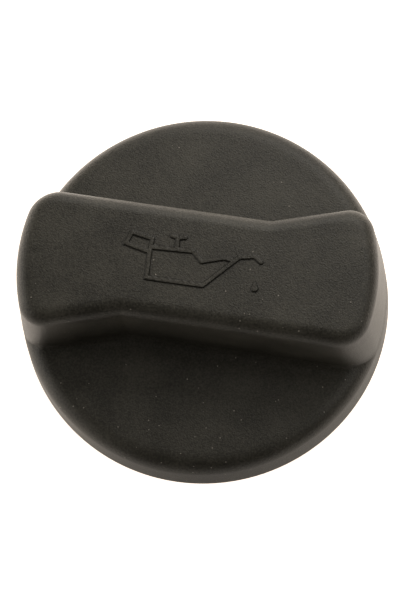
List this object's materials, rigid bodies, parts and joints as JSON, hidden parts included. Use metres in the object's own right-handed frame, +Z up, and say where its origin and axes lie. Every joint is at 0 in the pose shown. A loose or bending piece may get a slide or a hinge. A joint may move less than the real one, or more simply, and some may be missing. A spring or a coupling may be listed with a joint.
{
  "type": "oil filler cap",
  "caption": "Quarter-turn oil filler cap: round cover with a kinked full-width grip bar over a closed bayonet neck with lugs and a flat sealing ring.",
  "frame": {"origin": "on the cap's axis, at the neck's lower edge on which the cap stands", "axes": "+Z up along the axis of turning, +X along the grip bar, +Y square to it"},
  "size_m": [0.0698, 0.0698, 0.0385],
  "materials": {
    "cover_plastic": "fine-grained matte black moulding",
    "insert_plastic": "smooth satin black moulding",
    "seal_rubber": "matte moulded rubber"
  },
  "bodies": {
    "root": {"cap_cover": "cover_plastic", "bayonet_insert": "insert_plastic", "sealing_ring": "seal_rubber"}
  },
  "joints": []
}
